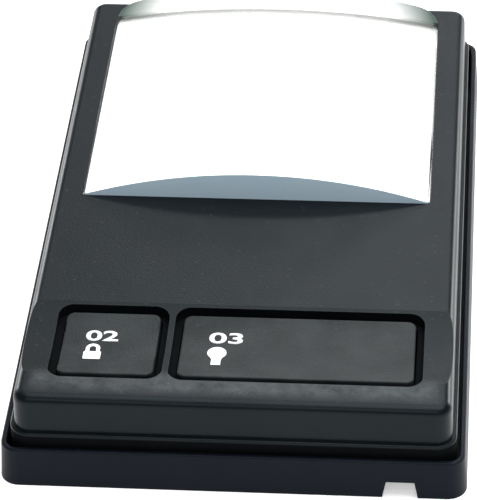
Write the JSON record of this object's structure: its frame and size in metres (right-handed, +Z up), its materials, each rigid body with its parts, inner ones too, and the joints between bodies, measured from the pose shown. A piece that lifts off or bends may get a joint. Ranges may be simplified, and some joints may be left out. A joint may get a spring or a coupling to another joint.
{
  "type": "pop-up reading magnifier",
  "caption": "Folding reading magnifier: a square lens in a keyed, lamp-lit housing that rises level on scissor arms from an open base frame.",
  "frame": {"origin": "middle of the base frame's bottom face", "axes": "+X across the keys, +Y from the keys towards the lens, +Z up"},
  "size_m": [0.09, 0.146, 0.0253],
  "materials": {
    "base_plastic": "fine moulded grain",
    "cover_plastic": "fine moulded grain",
    "key_plastic": "fine moulded grain",
    "chassis_plastic": "plain moulded",
    "latch_plastic": "plain moulded",
    "socket_plastic": "plain moulded",
    "well_white": "plain moulded",
    "clear_acrylic": "polished",
    "window_acrylic": "polished",
    "bulb_glass": "polished",
    "arm_steel": "zinc plated",
    "pin_steel": "turned",
    "spring_steel": "drawn wire",
    "contact_brass": "plated sheet",
    "bright_reflector": "polished",
    "cell_jacket": "plain printed sleeve without lettering",
    "board_laminate": "solder mask",
    "dome_rubber": "silicone",
    "pad_rubber": "matt",
    "wire_cover": "vinyl insulation"
  },
  "bodies": {
    "base": {"base_frame": "base_plastic", "grip_pads": "pad_rubber", "base_pivot_pins": "pin_steel"},
    "outer_arms": {"outer_arms": "arm_steel", "centre_pins": "pin_steel", "housing_slide_pins": "pin_steel"},
    "inner_arms": {"inner_arms": "arm_steel", "base_slide_pins": "pin_steel", "lift_springs": "spring_steel"},
    "housing": {"top_cover": "cover_plastic", "chassis": "chassis_plastic", "lens": "clear_acrylic", "lens_retainer": "chassis_plastic", "light_well": "well_white", "housing_pivot_pins": "pin_steel", "key_domes": "dome_rubber", "switch_board": "board_laminate", "battery_cells": "cell_jacket", "contact_plates": "contact_brass", "contact_bridge": "contact_brass", "contact_springs": "spring_steel", "bulb_glass": "bulb_glass", "bulb_cap": "contact_brass", "lamp_socket": "socket_plastic", "reflector": "bright_reflector", "lamp_window": "window_acrylic", "lamp_wires": "wire_cover", "case_screws": "pin_steel", "lock_key_spring": "spring_steel"},
    "lock_key": {"lock_key": "key_plastic"},
    "latch": {"latch_slide": "latch_plastic"},
    "light_key": {"light_key": "key_plastic"},
    "battery_door": {"battery_door": "chassis_plastic"}
  },
  "joints": [
    {"name": "lift", "type": "hinge", "parent": "base", "child": "outer_arms", "pos_m": [0, -0.032, 0.0046], "axis": [1, 0, 0], "range_deg": [0, 35]},
    {"name": "scissor_cross", "type": "hinge", "parent": "outer_arms", "child": "inner_arms", "pos_m": [0, 0, 0.0046], "axis": [1, 0, 0], "range_deg": [-70, 0]},
    {"name": "housing_pivot", "type": "hinge", "parent": "inner_arms", "child": "housing", "pos_m": [0, -0.032, 0.0046], "axis": [1, 0, 0], "range_deg": [0, 35]},
    {"name": "lock_press", "type": "slide", "parent": "housing", "child": "lock_key", "axis": [0, 0, -1], "range_m": [0, 0.0015], "stiffness_N_per_m": 400, "springref_m": -0.002, "deforming": ["lock_key_spring"]},
    {"name": "latch_travel", "type": "slide", "parent": "housing", "child": "latch", "axis": [0, -1, 0], "range_m": [0, 0.0015]},
    {"name": "light_press", "type": "slide", "parent": "housing", "child": "light_key", "axis": [0, 0, -1], "range_m": [0, 0.0008], "stiffness_N_per_m": 1200, "springref_m": -0.0006, "deforming": ["key_domes"]},
    {"name": "door_slide", "type": "slide", "parent": "housing", "child": "battery_door", "axis": [0, 1, 0], "range_m": [0, 0.006]}
  ],
  "couplings": [
    {"joint": "scissor_cross", "follows": "lift", "ratio": -2},
    {"joint": "housing_pivot", "follows": "lift", "ratio": 1},
    {"joint": "latch_travel", "follows": "lock_press", "ratio": 1}
  ]
}
